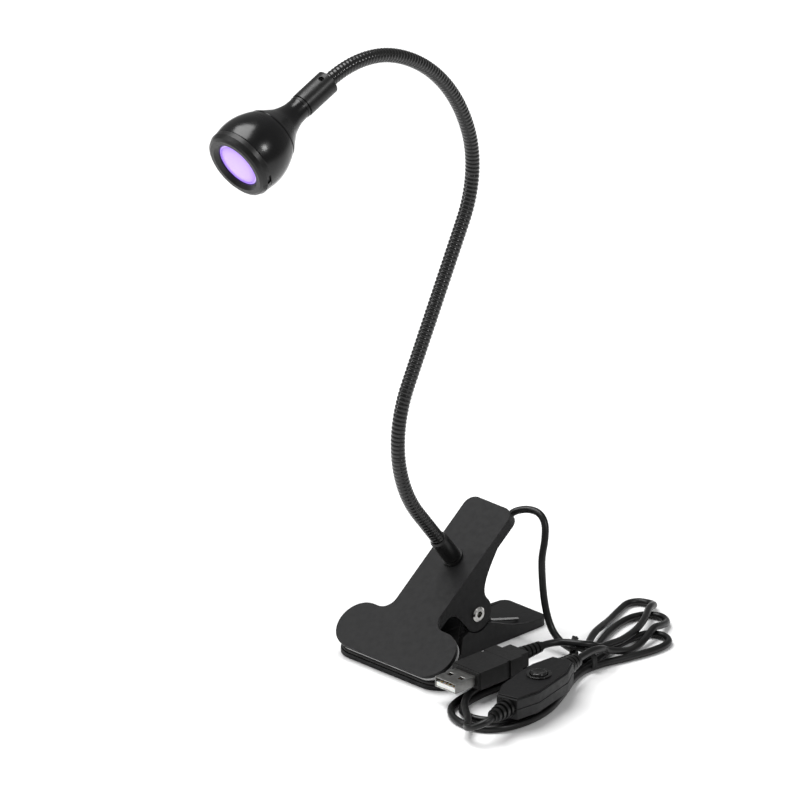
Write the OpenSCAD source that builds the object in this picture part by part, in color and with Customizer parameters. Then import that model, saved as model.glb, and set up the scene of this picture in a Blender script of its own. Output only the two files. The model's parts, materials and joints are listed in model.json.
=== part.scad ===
// Clip-on lamp with a bendable neck, a small ultraviolet head and a switched lead to a plug.
// Millimetres. The origin lies on the floor, straight under the hinge pin, in the clip's middle plane.
// +Z is up, the jaws and the head point to -Y, the handles to +Y.

/* [Clip] */
// Width over the side walls of both arms
arm_w = 26; // [24:0.5:34]
// Width of the T-shaped head of each jaw
jaw_w = 65; // [54:1:80]
// Corner radius of the T-shaped head, which is two radii deep
jaw_r = 11; // [8:0.5:13]
// Radius of the fillet between the arm and the T-shaped head
neck_fillet = 6; // [3:0.5:7]
// Length of the upper jaw in front of the hinge pin
jaw_l = 42; // [38:1:56]
// Length of the upper handle behind the hinge pin
handle_l = 41.5; // [38:0.5:56]
// Length of the lower handle behind the hinge pin
low_handle_l = 41.5; // [36:0.5:52]
// Height of the hinge pin above the floor
pin_z = 17.5; // [16.5:0.5:21]
// Distance from the hinge pin to the upper arm's outer face
plate_h = 19; // [18:0.5:23]
// Thickness of the arm plates
plate_t = 2; // [1.5:0.1:2.6]
// Thickness of the side walls
wall_t = 1.8; // [1.2:0.1:2.2]
// Thickness of the rubber pad on the upper jaw
pad_t = 2.1; // [1:0.1:3]
// Thickness of the rubber pad on the lower jaw
low_pad_t = 1; // [0.6:0.1:2]
// Radius of the hinge rivet's shank
pin_r = 2; // [1.5:0.1:2.4]
// Radius of the rivet's heads
rivet_head_r = 3.3; // [2.8:0.1:4]
// Radius of the spring wire
wire_r = 0.65; // [0.4:0.05:0.8]

/* [Neck] */
// Outer radius of the bendable neck
neck_r = 3.05; // [2.5:0.05:3.5]
// Inner radius of the bendable neck
neck_bore_r = 2; // [1.4:0.1:2.2]
// Distance from the hinge pin, along the upper arm, to the neck
neck_at = 12.2; // [10:0.2:14]
// Length of the sleeve that stands on the arm
sleeve_l = 15; // [10:1:20]
// Wall of the sleeve
sleeve_wall = 0.85; // [0.6:0.05:1.5]
// Length of the straight stretch above the arm
straight_1 = 33.5; // [28:0.5:44]
// Radius of the lower bend
bend_r = 57; // [40:1:80]
// Angle of the long straight stretch, from +Y
rise_angle = 63.5; // [58:0.5:75]
// Length of the long straight stretch
straight_2 = 72.5; // [55:0.5:95]
// Radius of each of the three upper bends
top_r = [53, 75, 52]; // [45:1:80]
// Angle that each of the three upper bends turns through
top_turn = [44.5, 49.5, 45]; // [40:0.5:52]

/* [Head] */
// Length of the collar behind the head
collar_l = 17.5; // [13:0.5:22]
// Outer radius of the collar
collar_r = 5.35; // [4.8:0.05:6.5]
// Largest radius of the head
head_r = 16.2; // [14.5:0.1:20]
// Length of the neck shell, from the collar to the seam
front_l = 18; // [15:0.5:22]
// Length of the belly shell, from the seam to the bezel
belly_l = 18; // [15:0.5:24]
// Length of the bezel ring
bezel_l = 4.8; // [4:0.1:7]
// Wall of the head's shells
shell_t = 1.5; // [1:0.1:2]
// Radius of the lens that shows
lens_r = 10.2; // [8:0.1:11.4]

/* [Lead] */
// Diameter of the lead
lead_d = 3.1; // [2.6:0.1:4]
// Height of the wound turns of lead
hank_h = 6.2; // [6:0.2:8]

/* [Switch] */
// Length of the in-line switch
switch_l = 46; // [44:1:60]
// Width of the in-line switch
switch_w = 18; // [16:0.5:22]
// Height of the in-line switch
switch_h = 10; // [9:0.5:13]
// Radius of the push button
button_r = 3.6; // [3:0.1:4.5]
// Travel of the push button
button_travel = 1.2; // [0.8:0.1:1.4]

/* [Plug] */
// Width of the plug's metal shell
plug_w = 12; // [11.9:0.05:12.1]
// Height of the plug's metal shell
plug_h = 4.5; // [4.4:0.05:4.6]
// Length of the metal shell outside the moulded body
plug_l = 12; // [11.5:0.1:12.5]
// Length of the moulded body
grip_l = 32; // [26:1:38]
// Width of the moulded body
grip_w = 16; // [14:0.5:18]
// Height of the moulded body
grip_h = 8; // [7:0.5:9]

/* [Hidden] */

$fn = 48;
// Gap left between pieces that move past each other
gap = 0.35;
// Gap of the pin in the lower arm's lugs
running = 0.06;
eps = 0.01;

// Clip: the closed angle follows from both jaws meeting at their front edges
low_top = plate_t + low_pad_t;
grip_h_local = plate_h - plate_t - pad_t;
reach = sqrt(jaw_l * jaw_l + grip_h_local * grip_h_local);
clip_angle = acos((low_top + gap - pin_z) / reach) - atan2(jaw_l, grip_h_local);
low_jaw_l = jaw_l * cos(clip_angle) + grip_h_local * sin(clip_angle) + 0.4;
ear_r = pin_r + 5.8;
band_h = 5;
step_in = 0.4;
handle_r = 5;
lug_x = arm_w / 2 - wall_t - gap;
lug_t = 2;
boss_r = pin_r + 1.6;
boss_l = 3;
coil_r = boss_r + gap + wire_r + 0.1;
coil_turns = 6;

// Neck: directions are angles from +Y in the plane X = 0
function dir(a) = [0, cos(a), sin(a)];
th_0 = clip_angle + 90;
p_0 = [0, 0, pin_z] + neck_at * dir(clip_angle) + plate_h * dir(th_0);
p_1 = p_0 + straight_1 * dir(th_0);
c_a = p_1 + bend_r * dir(th_0 - 90);
p_2 = c_a + bend_r * dir(rise_angle + 90);
p_3 = p_2 + straight_2 * dir(rise_angle);
function turned(k) = k == 0 ? rise_angle : turned(k - 1) + top_turn[k - 1];
function bend_start(k) = k == 0 ? p_3 : bend_c(k - 1) + top_r[k - 1] * dir(turned(k) - 90);
function bend_c(k) = bend_start(k) + top_r[k] * dir(turned(k) + 90);
head_dir = turned(3);
head_at = bend_start(3);
cup_r = neck_r + gap;
ball_r = neck_r - 0.1;
neck_end_r = neck_r - 0.05;

// Head: distances along its axis from the back of the collar
seam_1 = collar_l + front_l;
seam_2 = seam_1 + belly_l;
seam_r = 0.76 * head_r;
bezel_back_r = head_r - 0.5;
bezel_front_r = head_r - 2.6;
board_z = seam_2 - 9;
board_r = lens_r + 0.2;
heat_t = 3;
// Place of the set screw along the collar, and its turn from +X round the collar
screw_z = 3.4;
screw_turn = 75;
screw_r = 1.2;

// Lead: the floor is z = 0
lead_r = lead_d / 2;
clamp_s = 31;
clamp_l = 5;
lead_h = plate_h - band_h - 0.3 - lead_r;
lead_x = 6;
tie_at = [55, 20];
neck_x = [49, 61];
tie_w = 2.2;
tie_t = 0.7;
neck_top = hank_h + 1.3;
drop_start = [lead_x, 0, pin_z] + (clamp_s + clamp_l + 0.15) * dir(clip_angle) + lead_h * dir(th_0);
drop_route = concat([drop_start], [
  [6, 24.4, 52], [7.5, 27, 54.4], [12, 30, 55.8], [17.5, 31.2, 55.3], [21.5, 30.6, 52], [23.5, 28.6, 46],
  [24.5, 26, 39], [25.5, 25, 32], [27.5, 24, 23], [30, 23.6, 15], [33.5, 23.4, 9], [38.5, 23.4, 5.5],
  [44, 23.4, 4.2], [49, 23.4, 4]
]);

plug_route = [[43, 7.4, 10.2], [43.4, 11, 10.1], [45, 15, 10], [48.5, 18, 10], [53, 20.6, 10],
  [55.5, 24.5, 9.2], [56.5, 28, 7.4]];

// Switch: centre of its underside, and the way that its length turns from +Y
switch_at = [73.2, -27.2, hank_h];
switch_turn = 13.9;
switch_seam = 0.5 * switch_h;
relief_l = 12;
// End of the relief at the front (-1) or the rear (1), where the lead comes out
function relief_end(side) = let (out = side * (switch_l / 2 + relief_l))
  switch_at + [-out * sin(switch_turn), out * cos(switch_turn), switch_seam];
switch_front_route = concat([relief_end(-1)], [[81.9, -64, 10.4], [80.5, -66.6, 8.7], [77.6, -67.4, 6.7],
  [74.3, -65.4, 4.9], [71.6, -61.8, 3.8], [70.2, -58.9, 3.2]]);
switch_rear_route = concat([relief_end(1)], [[64, 10.4, 11.2], [63.1, 15, 11.1], [62.6, 18.5, 10.9],
  [62.1, 22, 10.1], [61, 26, 8.6], [60, 28, 7.2]]);
relief_r = [4.2, 2.6];
cover_t = 1.4;
button_at = 3;
well_r = button_r + 1.7;
// Spring seat under the button, and the foot of the button, clear of the seat at full travel
block_h = 2.6;
seat_z = cover_t + 0.8;
foot_z = cover_t + block_h + button_travel + 0.7;
spring_wire_r = 0.2;

// Plug: centre of the mouth's lower edge, pointing to -Y
plug_at = [43, -50, hank_h];
plug_axis_z = grip_h / 2;
shell_t_m = 0.35;
tongue_h = 1.9;

// Points along a smooth curve through hand-set points
function spline_at(p, i, t) =
  let (a = p[max(i - 1, 0)], b = p[i], c = p[i + 1], d = p[min(i + 2, len(p) - 1)])
  0.5 * (2 * b + (c - a) * t + (2 * a - 5 * b + 4 * c - d) * t * t + (3 * b - a - 3 * c + d) * t * t * t);
function smooth(p, n) = concat(
  [for (i = [0:len(p) - 2]) for (k = [0:n - 1]) spline_at(p, i, k / n)], [p[len(p) - 1]]);
function unit(v) = v / norm(v);
function along(p, i) = unit(p[min(i + 1, len(p) - 1)] - p[max(i - 1, 0)]);
// Ring of points round one point of a route, turned so that it never twists much
function ring(c, t, r, sides, up) =
  let (u = unit(cross(up, t)), w = cross(t, u))
  [for (k = [0:sides - 1]) c + r * cos(360 * k / sides) * u + r * sin(360 * k / sides) * w];
module tube(p, r, sides = 8, up = [0.3, -0.9, 0.31]) {
  n = len(p);
  rings = [for (i = [0:n - 1]) each ring(p[i], along(p, i), r, sides, up)];
  walls = [for (i = [0:n - 2]) for (k = [0:sides - 1])
    [i * sides + k, i * sides + (k + 1) % sides, (i + 1) * sides + (k + 1) % sides, (i + 1) * sides + k]];
  polyhedron(rings, concat(
    [[for (k = [sides - 1:-1:0]) k]], walls, [[for (k = [0:sides - 1]) (n - 1) * sides + k]]));
}

// ---- helpers for the clip ----
// Frame of the upper arm: Y runs along it and Z out of its plate, from the hinge pin
module on_upper() {
  translate([0, 0, pin_z]) rotate([clip_angle, 0, 0]) children();
}
// A profile in Y and Z, extruded to +X from x0
module side_plate(x0, t) {
  translate([x0, 0, 0]) rotate([90, 0, 90]) linear_extrude(t) children();
}
module both_sides() {
  for (m = [0, 1]) mirror([m, 0, 0]) children();
}
// Rod along X
module x_rod(r, x0, x1) {
  translate([x0, 0, 0]) rotate([0, 90, 0]) cylinder(r = r, h = x1 - x0);
}
// T-shaped outline: front edge at -front, square back end at 0
module t_head(front, inset = 0) {
  r = jaw_r - inset;
  x = jaw_w / 2 - jaw_r;
  y = jaw_r - front;
  translate([-x, y - r]) square([2 * x, 2 * r]);
  for (s = [-1, 1]) translate([s * x, y]) circle(r, $fn = 64);
}
module fillets(front, w) {
  y = 2 * jaw_r - front;
  for (m = [0, 1]) mirror([m, 0]) difference() {
    translate([w / 2 - eps, y - eps]) square(neck_fillet + eps);
    translate([w / 2 + neck_fillet, y + neck_fillet]) circle(neck_fillet);
  }
}
// Arm outline with rounded back corners
module arm_outline(y0, y1, w, r) {
  translate([-w / 2, y0]) square([w, y1 - r - y0]);
  translate([r - w / 2, y0]) square([w - 2 * r, y1 - y0]);
  for (s = [-1, 1]) translate([s * (w / 2 - r), y1 - r]) circle(r);
}

// ---- clip ----
band_start = 24 - jaw_l;
module upper_ear() {
  back = [7.7, 1.2];
  foot = [27, plate_h - band_h + 0.1];
  circle(ear_r, $fn = 64);
  polygon(concat(
    [[-7.6, 1.5], [-8, 4], [-8, 8], [-8.8, 10.8], [-10.5, 12.8], [-13, 13.9], [-13, plate_h - band_h + 0.1]],
    [foot], [for (t = [0.9:-0.1:0.1])
      pow(1 - t, 3) * back + 3 * t * pow(1 - t, 2) * [7.2, 7]
      + 3 * t * t * (1 - t) * [16, 10.5] + pow(t, 3) * foot],
    [back]));
}
module upper_arm() {
  color("#262626") on_upper() difference() {
    union() {
      translate([0, 0, plate_h - plate_t]) linear_extrude(plate_t) {
        t_head(jaw_l);
        fillets(jaw_l, arm_w);
        arm_outline(2 * jaw_r - jaw_l - 1, handle_l, arm_w, handle_r);
      }
      translate([0, 0, plate_h - band_h]) difference() {
        linear_extrude(band_h - plate_t + eps) arm_outline(band_start, handle_l, arm_w, handle_r);
        translate([0, 0, -1]) linear_extrude(band_h) arm_outline(
          band_start - 1, handle_l - wall_t, arm_w - 2 * wall_t, handle_r - wall_t);
      }
      both_sides() side_plate(arm_w / 2 - wall_t, wall_t - step_in) upper_ear();
    }
    x_rod(pin_r, -arm_w, arm_w);
    translate([0, neck_at, plate_h - plate_t - 1]) cylinder(r = neck_r + sleeve_wall, h = plate_t + 2);
  }
}
module upper_jaw_pad() {
  color("#8a8a8a") on_upper() translate([0, 0, plate_h - plate_t - pad_t]) linear_extrude(pad_t)
    t_head(jaw_l, 0.3);
}
// Side profile of the lower arm's walls
// Corner radius and height of the lower handle's end, where the floor has risen to the walls' height
low_corner = 4;
low_end_h = 3.8;
module low_wall() {
  polygon([[-11, 0], [-9.5, pin_z - 8], [0, pin_z - 4], [8, 11.2], [12, 9.6], [20, 6.4], [28, 4.4],
    [low_handle_l - low_corner, low_end_h], [low_handle_l - low_corner, 0]]);
}
module low_lug() {
  translate([0, pin_z]) circle(ear_r - 1.2, $fn = 64);
  polygon([[-9, 0], [-6.4, pin_z], [6.4, pin_z], [11, 9], [15, 0]]);
}
module lower_arm() {
  color("#2e2e2e") difference() {
    union() {
      linear_extrude(plate_t) {
        t_head(low_jaw_l);
        fillets(low_jaw_l, arm_w);
        arm_outline(2 * jaw_r - low_jaw_l - 1, low_handle_l, arm_w, low_corner);
      }
      // floor of the handle, rising to its thick end
      side_plate(0.5 - arm_w / 2, arm_w - 1)
        polygon([[13, plate_t - 1], [13, plate_t], [26, low_end_h], [low_handle_l - low_corner, low_end_h],
          [low_handle_l - low_corner, plate_t - 1]]);
      linear_extrude(low_end_h) arm_outline(low_handle_l - low_corner - 1, low_handle_l, arm_w, low_corner);
      both_sides() {
        difference() {
          side_plate(lug_x, arm_w / 2 - lug_x) low_wall();
          translate([0, 0, pin_z]) x_rod(ear_r + gap + 0.1, lug_x, arm_w);
          translate([lug_x - 1, 13, plate_t]) cube([arm_w / 2 - wall_t - lug_x + 1, low_handle_l, 20]);
        }
        side_plate(lug_x - lug_t, lug_t) low_lug();
        translate([0, 0, pin_z]) x_rod(boss_r, lug_x - lug_t - boss_l, lug_x - lug_t + eps);
      }
    }
    translate([0, 0, pin_z]) x_rod(pin_r + running, -arm_w, arm_w);
  }
}
module lower_jaw_pad() {
  color("#484848") translate([0, 0, plate_t]) linear_extrude(low_pad_t) t_head(low_jaw_l, 0.6);
}
module hinge_rivet() {
  head_x = arm_w / 2 - step_in;
  color("#c8c8c8") translate([0, 0, pin_z]) difference() {
    union() {
      x_rod(pin_r, -head_x, head_x);
      both_sides() translate([head_x, 0, 0]) rotate([0, 90, 0]) {
        cylinder(r = rivet_head_r, h = 0.5);
        translate([0, 0, 0.5 - eps]) cylinder(r1 = rivet_head_r, r2 = rivet_head_r - 0.7, h = 0.5);
      }
    }
    // hollow end that is rolled over when the rivet is set
    x_rod(pin_r - 0.6, head_x - 4, head_x + 2);
    x_rod(pin_r - 0.6, -head_x - 2, 4 - head_x);
  }
}
// Spring route: leg on the lower handle, coil round the bosses, leg under the upper handle
spring_w = 2 * (lug_x - lug_t) - 2 * wire_r - 2;
leg_low = [spring_w / 2, 29, low_end_h + wire_r + 0.05];
leg_up_s = 26;
leg_up = [-spring_w / 2, 0, pin_z] + leg_up_s * dir(clip_angle)
  + (plate_h - plate_t - wire_r - gap) * dir(th_0);
low_turn = 254;
coil_span = 360 * coil_turns + 104;
function coil_pt(a) = [spring_w / 2 - spring_w * a / coil_span, 0, pin_z] + coil_r * dir(low_turn - a);
function lerp(a, b, t) = a + (b - a) * t;
spring_route = concat(
  [for (t = [0:0.25:0.75]) lerp(leg_low, coil_pt(0), t)],
  [for (a = [0:24:coil_span]) coil_pt(a)],
  [for (t = [0.25:0.25:1]) lerp(coil_pt(coil_span), leg_up, t)]);
module torsion_spring() {
  color("#d0d0d0") tube(spring_route, wire_r, 8, [1, 0.02, 0.03]);
}

// ---- neck ----
module neck_sleeve() {
  color("#1a1a1a") on_upper() translate([0, neck_at, 0]) difference() {
    union() {
      translate([0, 0, plate_h]) cylinder(r = neck_r + sleeve_wall, h = sleeve_l - 1);
      translate([0, 0, plate_h + sleeve_l - 1 - eps])
        cylinder(r1 = neck_r + sleeve_wall, r2 = neck_r + 0.3, h = 1);
      translate([0, 0, plate_h - plate_t - 4])
        cylinder(r = neck_r + sleeve_wall - 0.1, h = plate_t + 4 + eps);
      translate([0, 0, plate_h]) cylinder(r = neck_r + sleeve_wall + 0.7, h = 1.2);
    }
    translate([0, 0, plate_h - 8]) cylinder(r = neck_r, h = sleeve_l + 10);
  }
}
module under_plate(z0, r, h, sides) {
  on_upper() translate([0, neck_at, plate_h - plate_t - z0 - h]) difference() {
    cylinder(r = r, h = h, $fn = sides);
    translate([0, 0, -1]) cylinder(r = neck_r + sleeve_wall - 0.1, h = h + 2);
  }
}
module sleeve_washer() {
  color("#b0b0b0") under_plate(0, 6.2, 0.8, 48);
}
module sleeve_nut() {
  color("#c0c0c0") under_plate(0.8, 6.4, 2.4, 6);
}
// Straight or curved stretch of neck, with a ball at its start and a cup at its end
module neck_straight(from, a, length, ball = true, cup = true, tail = 0) {
  difference() {
    translate(from) rotate([a - 90, 0, 0]) difference() {
      union() {
        translate([0, 0, -tail]) cylinder(r = neck_r, h = length + tail);
        if (ball) sphere(ball_r);
      }
      translate([0, 0, -tail - neck_r - 1]) cylinder(r = neck_bore_r, h = length + tail + neck_r + 2);
    }
    if (cup) translate(from + length * dir(a)) sphere(cup_r);
  }
}
// A ring sector round X, centred in the plane X = 0, from angle a0 to a1
module sector(c, r_bend, a0, a1, r) {
  translate(c) rotate([90, 0, 90]) rotate([0, 0, a0]) rotate_extrude(angle = a1 - a0, $fn = 96)
    translate([r_bend, 0]) circle(r, $fn = 32);
}
module neck_bend(c, r_bend, a0, a1, start, end, cup = true) {
  // angle that takes the bore on through the ball
  past = 6;
  difference() {
    union() {
      sector(c, r_bend, min(a0, a1), max(a0, a1), neck_r);
      translate(start) sphere(ball_r);
    }
    sector(c, r_bend, min(a0, a1) - past, max(a0, a1) + past, neck_bore_r);
    if (cup) translate(end) sphere(cup_r);
  }
}
module gooseneck_1() {
  color("#101010") neck_straight(p_0, th_0, straight_1, false, true, plate_t + 3);
}
module gooseneck_2() {
  color("#141414") neck_bend(c_a, bend_r, th_0 + 90, rise_angle + 90, p_1, p_2);
}
module gooseneck_3() {
  color("#101010") neck_straight(p_2, rise_angle, straight_2);
}
module top_bend(k, cup = true) {
  neck_bend(bend_c(k), top_r[k], turned(k) - 90, turned(k + 1) - 90,
    bend_start(k), bend_start(k + 1), cup);
}
module gooseneck_4() {
  color("#141414") top_bend(0);
}
module gooseneck_5() {
  color("#101010") top_bend(1);
}
module gooseneck_6() {
  color("#141414") {
    top_bend(2, false);
    translate(head_at) rotate([head_dir - 90, 0, 0]) difference() {
      translate([0, 0, -0.5]) cylinder(r = neck_end_r, h = collar_l - 3.5);
      translate([0, 0, -1]) cylinder(r = neck_bore_r + 0.1, h = collar_l);
    }
  }
}

// ---- head ----
// Frame of the head: Z runs from the back of the collar to the lens
module on_head() {
  translate(head_at) rotate([head_dir - 90, 0, 0]) children();
}
module on_screw() {
  on_head() translate([0, 0, screw_z]) rotate([0, 0, screw_turn]) rotate([0, 90, 0]) children();
}
module head_collar() {
  color("#161616") difference() {
    on_head() difference() {
      union() {
        cylinder(r = collar_r, h = collar_l - 1.6);
        translate([0, 0, collar_l - 1.6 - eps]) cylinder(r = collar_r - 0.5, h = 0.8);
        translate([0, 0, collar_l - 0.8 - eps]) cylinder(r = collar_r - 0.2, h = 0.8);
        translate([0, 0, collar_l - eps]) cylinder(r = 3.6, h = 4);
      }
      translate([0, 0, -1]) cylinder(r = neck_end_r, h = collar_l - 1.9);
      translate([0, 0, -1]) cylinder(r = neck_bore_r, h = collar_l + 8);
    }
    on_screw() cylinder(r = screw_r, h = collar_r + 1);
  }
}
module set_screw() {
  color("#8c8c8c") on_screw() translate([0, 0, neck_end_r]) difference() {
    cylinder(r = screw_r, h = 1.6);
    translate([0, 0, 0.8]) cylinder(r = 0.6, h = 1.5, $fn = 6);
  }
}
// Outer outline of the front shell as points [radius, distance], and of the belly
front_pts = [[5, 0], [5.1, 2], [5.5, 5.5], [7.1, 10], [9.2, 13], [0.76 * head_r - 0.6, front_l - 0.8],
  [0.76 * head_r, front_l]];
function bell(t) = seam_r + (head_r - seam_r) * sin(90 * min(1, t / 0.72))
  - 0.5 * pow(max(0, (t - 0.72) / 0.28), 2);
module head_front_shell() {
  inner = [for (p = front_pts) [p.x - shell_t, p.y]];
  color("#0e0e0e") on_head() translate([0, 0, collar_l]) rotate_extrude($fn = 96)
    polygon(concat(front_pts, [for (i = [len(inner) - 1:-1:3]) inner[i]],
      [[3.65, 8], [3.65, 0]]));
}
module head_belly_shell() {
  n = 14;
  color("#0e0e0e") on_head() translate([0, 0, seam_1]) rotate_extrude($fn = 96)
    polygon(concat([for (i = [0:n]) [bell(i / n), belly_l * i / n]],
      [for (i = [n:-1:0]) [bell(i / n) - shell_t, belly_l * i / n]]));
}
module head_bezel() {
  color("#1c1c1c") on_head() translate([0, 0, seam_2]) difference() {
    rotate_extrude($fn = 96) polygon([[bezel_back_r - shell_t - gap, -4], [bezel_back_r - shell_t, -4],
      [bezel_back_r - shell_t, 0],
      [bezel_back_r, 0], [bezel_back_r, bezel_l - 2.6], [bezel_back_r - 0.9, bezel_l - 0.7],
      [bezel_front_r, bezel_l], [lens_r + 1.6, bezel_l], [lens_r, bezel_l - 1.4], [lens_r, bezel_l - 2.2],
      [lens_r + 1.2, bezel_l - 2.2], [lens_r + 1.2, -2]]);
    // grip notch at the seam, where the bezel is turned off
    rotate([0, 0, -15]) translate([bezel_back_r - 0.8, -2, -eps]) cube([3, 4, 2.2]);
  }
}
module lens() {
  back = seam_2 + bezel_l - 4.7;
  color("#c0a8e8") on_head() translate([0, 0, back]) rotate_extrude($fn = 96)
    polygon(concat([[0, 0], [lens_r + 1, 0], [lens_r + 1, 2.3], [lens_r - 0.2, 2.3]],
      [for (a = [80:-10:0]) [(lens_r - 0.2) * sin(a), 2.3 + 1.3 * cos(a)]]));
}
module lens_seal() {
  color("#202020") on_head() translate([0, 0, seam_2 + bezel_l - 5.3]) difference() {
    cylinder(r = lens_r + 1, h = 0.6);
    translate([0, 0, -1]) cylinder(r = lens_r - 0.4, h = 2);
  }
}
module reflector() {
  top = seam_2 + bezel_l - 5.3 - board_z - 1.6;
  color("#d8d8d8") on_head() translate([0, 0, board_z + 1.6]) rotate_extrude($fn = 72)
    polygon([[3.2, 0], [4.2, 0], [lens_r + 0.8, top], [lens_r - 0.2, top]]);
}
module led_board() {
  color("#e8e8e8") on_head() translate([0, 0, board_z]) difference() {
    cylinder(r = board_r, h = 1.6);
    for (a = [0, 180]) rotate([0, 0, a]) translate([6.8, 0, -1]) cylinder(r = 1.1, h = 4);
  }
}
module heat_plate() {
  // fits the belly shell where its back face lies
  back = (board_z - heat_t - seam_1) / belly_l;
  color("#b8b8b8") on_head() translate([0, 0, board_z - heat_t]) difference() {
    cylinder(r = bell(back) - shell_t - 0.1, h = heat_t);
    for (a = [0, 180]) rotate([0, 0, a]) translate([6.8, 0, -1]) cylinder(r = 0.9, h = 6);
    for (a = [90, 270]) rotate([0, 0, a]) translate([6.8, 0, -1]) cylinder(r = 1.4, h = 6);
  }
}
module led_emitter() {
  color("#f0e8a0") on_head() translate([0, 0, board_z + 1.6]) {
    translate([-1.75, -1.75, 0]) cube([3.5, 3.5, 0.9]);
    translate([0, 0, 0.9]) difference() {
      sphere(1.5);
      translate([0, 0, -5]) cube(10, center = true);
    }
  }
}
module board_screws() {
  color("#a0a0a0") on_head() for (a = [0, 180]) rotate([0, 0, a]) translate([6.8, 0, board_z]) {
    translate([0, 0, -2.8]) cylinder(r = 0.9, h = 4.4);
    translate([0, 0, 1.6]) cylinder(r = 1.6, h = 0.9);
  }
}

// ---- lead ----
module cord_clamp() {
  wide = 2 * lead_r + 8;
  low = lead_h - lead_r - 1;
  color("#202020") on_upper() difference() {
    translate([lead_x - lead_r - 6.6, clamp_s, low]) cube([wide, clamp_l, plate_h - plate_t - low]);
    translate([lead_x, clamp_s - 1, lead_h]) rotate([-90, 0, 0]) cylinder(r = lead_r, h = clamp_l + 2);
    translate([clamp_screw_x, clamp_s + clamp_l / 2, low - 1]) cylinder(r = 0.8, h = 20);
  }
}
clamp_screw_x = lead_x - lead_r - 3.4;
module clamp_screws() {
  low = lead_h - lead_r - 1;
  color("#a0a0a0") on_upper() translate([clamp_screw_x, clamp_s + clamp_l / 2, low]) {
    cylinder(r = 0.8, h = plate_h - plate_t - low - 0.4);
    translate([0, 0, -0.9]) cylinder(r = 1.6, h = 0.9);
  }
}
// Lead under the upper handle: from the clamp to the foot of the neck
module cord_inside_arm() {
  end_h = plate_h - plate_t - 4.6;
  route = [[lead_x, clamp_s + clamp_l, lead_h], [lead_x, clamp_s + 2, lead_h],
    [lead_x, clamp_s - 3, lead_h], [5, 22, lead_h - 0.6], [3.4, 17, lead_h - 1.8],
    [1.2, 13.6, lead_h - 1.6], [0.2, neck_at + 0.2, end_h - 1],
    [0, neck_at, end_h]];
  color("#161616") on_upper() tube(route, lead_r, 8, [0.99, 0.1, 0.1]);
}
module cord_drop() {
  color("#161616") tube(smooth(drop_route, 2), lead_r);
}
// Outline of turns that spread from the tie, cut off square at the tie
module rear_outline() {
  hull() {
    translate([neck_x[0], tie_at.y]) square([neck_x[1] - neck_x[0], 6]);
    translate([30, 78]) circle(6, $fn = 32);
    translate([57, 60]) circle(7, $fn = 32);
    translate([64, 44]) circle(5, $fn = 32);
  }
}
module front_outline() {
  hull() {
    translate([neck_x[0], tie_at.y - 5]) square([neck_x[1] - neck_x[0], 5]);
    translate([42, -8]) circle(6, $fn = 32);
    translate([43, -40]) circle(7, $fn = 32);
    translate([49, -52]) circle(7, $fn = 32);
    translate([72, -53]) circle(6, $fn = 32);
    translate([74, -14]) circle(6, $fn = 32);
  }
}
module cord_rear_hank() {
  color("#1a1a1a") linear_extrude(hank_h + 0.8) rear_outline();
}
module cord_front_hank() {
  color("#1a1a1a") linear_extrude(hank_h) front_outline();
}
module cord_tie() {
  outer = neck_x[1] - neck_x[0] + 2 * tie_t;
  color("#080808") translate([neck_x[0] - tie_t, tie_at.y - tie_w / 2, 0]) difference() {
    cube([outer, tie_w, neck_top + tie_t]);
    translate([tie_t, -1, tie_t]) cube([outer - 2 * tie_t, tie_w + 2, neck_top - tie_t]);
  }
}
module cord_switch_front() {
  color("#161616") tube(switch_front_route, lead_r);
}
module cord_switch_rear() {
  color("#161616") tube(switch_rear_route, lead_r);
}
module cord_plug_tail() {
  color("#161616") tube(plug_route, lead_r);
}

// ---- in-line switch ----
// Frame of the switch: Y along it from front to back, underside at z = 0
module on_switch() {
  translate(switch_at) rotate([0, 0, switch_turn]) children();
}
// Boat-shaped outline, blunt at both ends
module switch_outline(inset) {
  w = switch_w - 2 * inset;
  l = switch_l - 2 * inset;
  end_w = 0.56 * w;
  taper = 11;
  polygon([[-end_w / 2, -l / 2], [end_w / 2, -l / 2], [w / 2, taper - l / 2], [w / 2, l / 2 - taper],
    [end_w / 2, l / 2], [-end_w / 2, l / 2], [-w / 2, l / 2 - taper], [-w / 2, taper - l / 2]]);
}
module relief_holes() {
  for (s = [-1, 1]) translate([0, s * switch_l / 2, switch_seam]) rotate([90, 0, 0])
    cylinder(r = 2.2, h = 8, center = true);
}
screw_spots = [[0, 7 - switch_l / 2], [0, switch_l / 2 - 7]];
module switch_base() {
  color("#161616") on_switch() difference() {
    union() {
      linear_extrude(0.8) switch_outline(0.8);
      translate([0, 0, 0.8 - eps]) linear_extrude(switch_seam - 0.8) switch_outline(0);
    }
    translate([0, 0, cover_t]) linear_extrude(switch_h) difference() {
      switch_outline(cover_t);
      for (p = screw_spots) translate(p) circle(2.2);
    }
    relief_holes();
    for (p = screw_spots) translate([p.x, p.y, -1]) {
      cylinder(r = 0.9, h = switch_h);
      cylinder(r = 1.9, h = 2);
    }
  }
}
module switch_cover() {
  color("#141414") on_switch() difference() {
    union() {
      translate([0, 0, switch_seam + 0.05]) linear_extrude(switch_h - switch_seam - 0.85) switch_outline(0.1);
      translate([0, 0, switch_h - 0.8]) linear_extrude(0.8) switch_outline(0.9);
    }
    translate([0, 0, switch_seam - 1]) linear_extrude(switch_h - switch_seam - cover_t + 1) difference() {
      switch_outline(cover_t);
      for (p = screw_spots) translate(p) circle(2.2);
    }
    relief_holes();
    translate([0, button_at, 0]) cylinder(r = well_r - 0.4, h = switch_h + 1);
    for (p = screw_spots) translate([p.x, p.y, 0]) cylinder(r = 0.7, h = switch_h - 1.2);
  }
}
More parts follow.
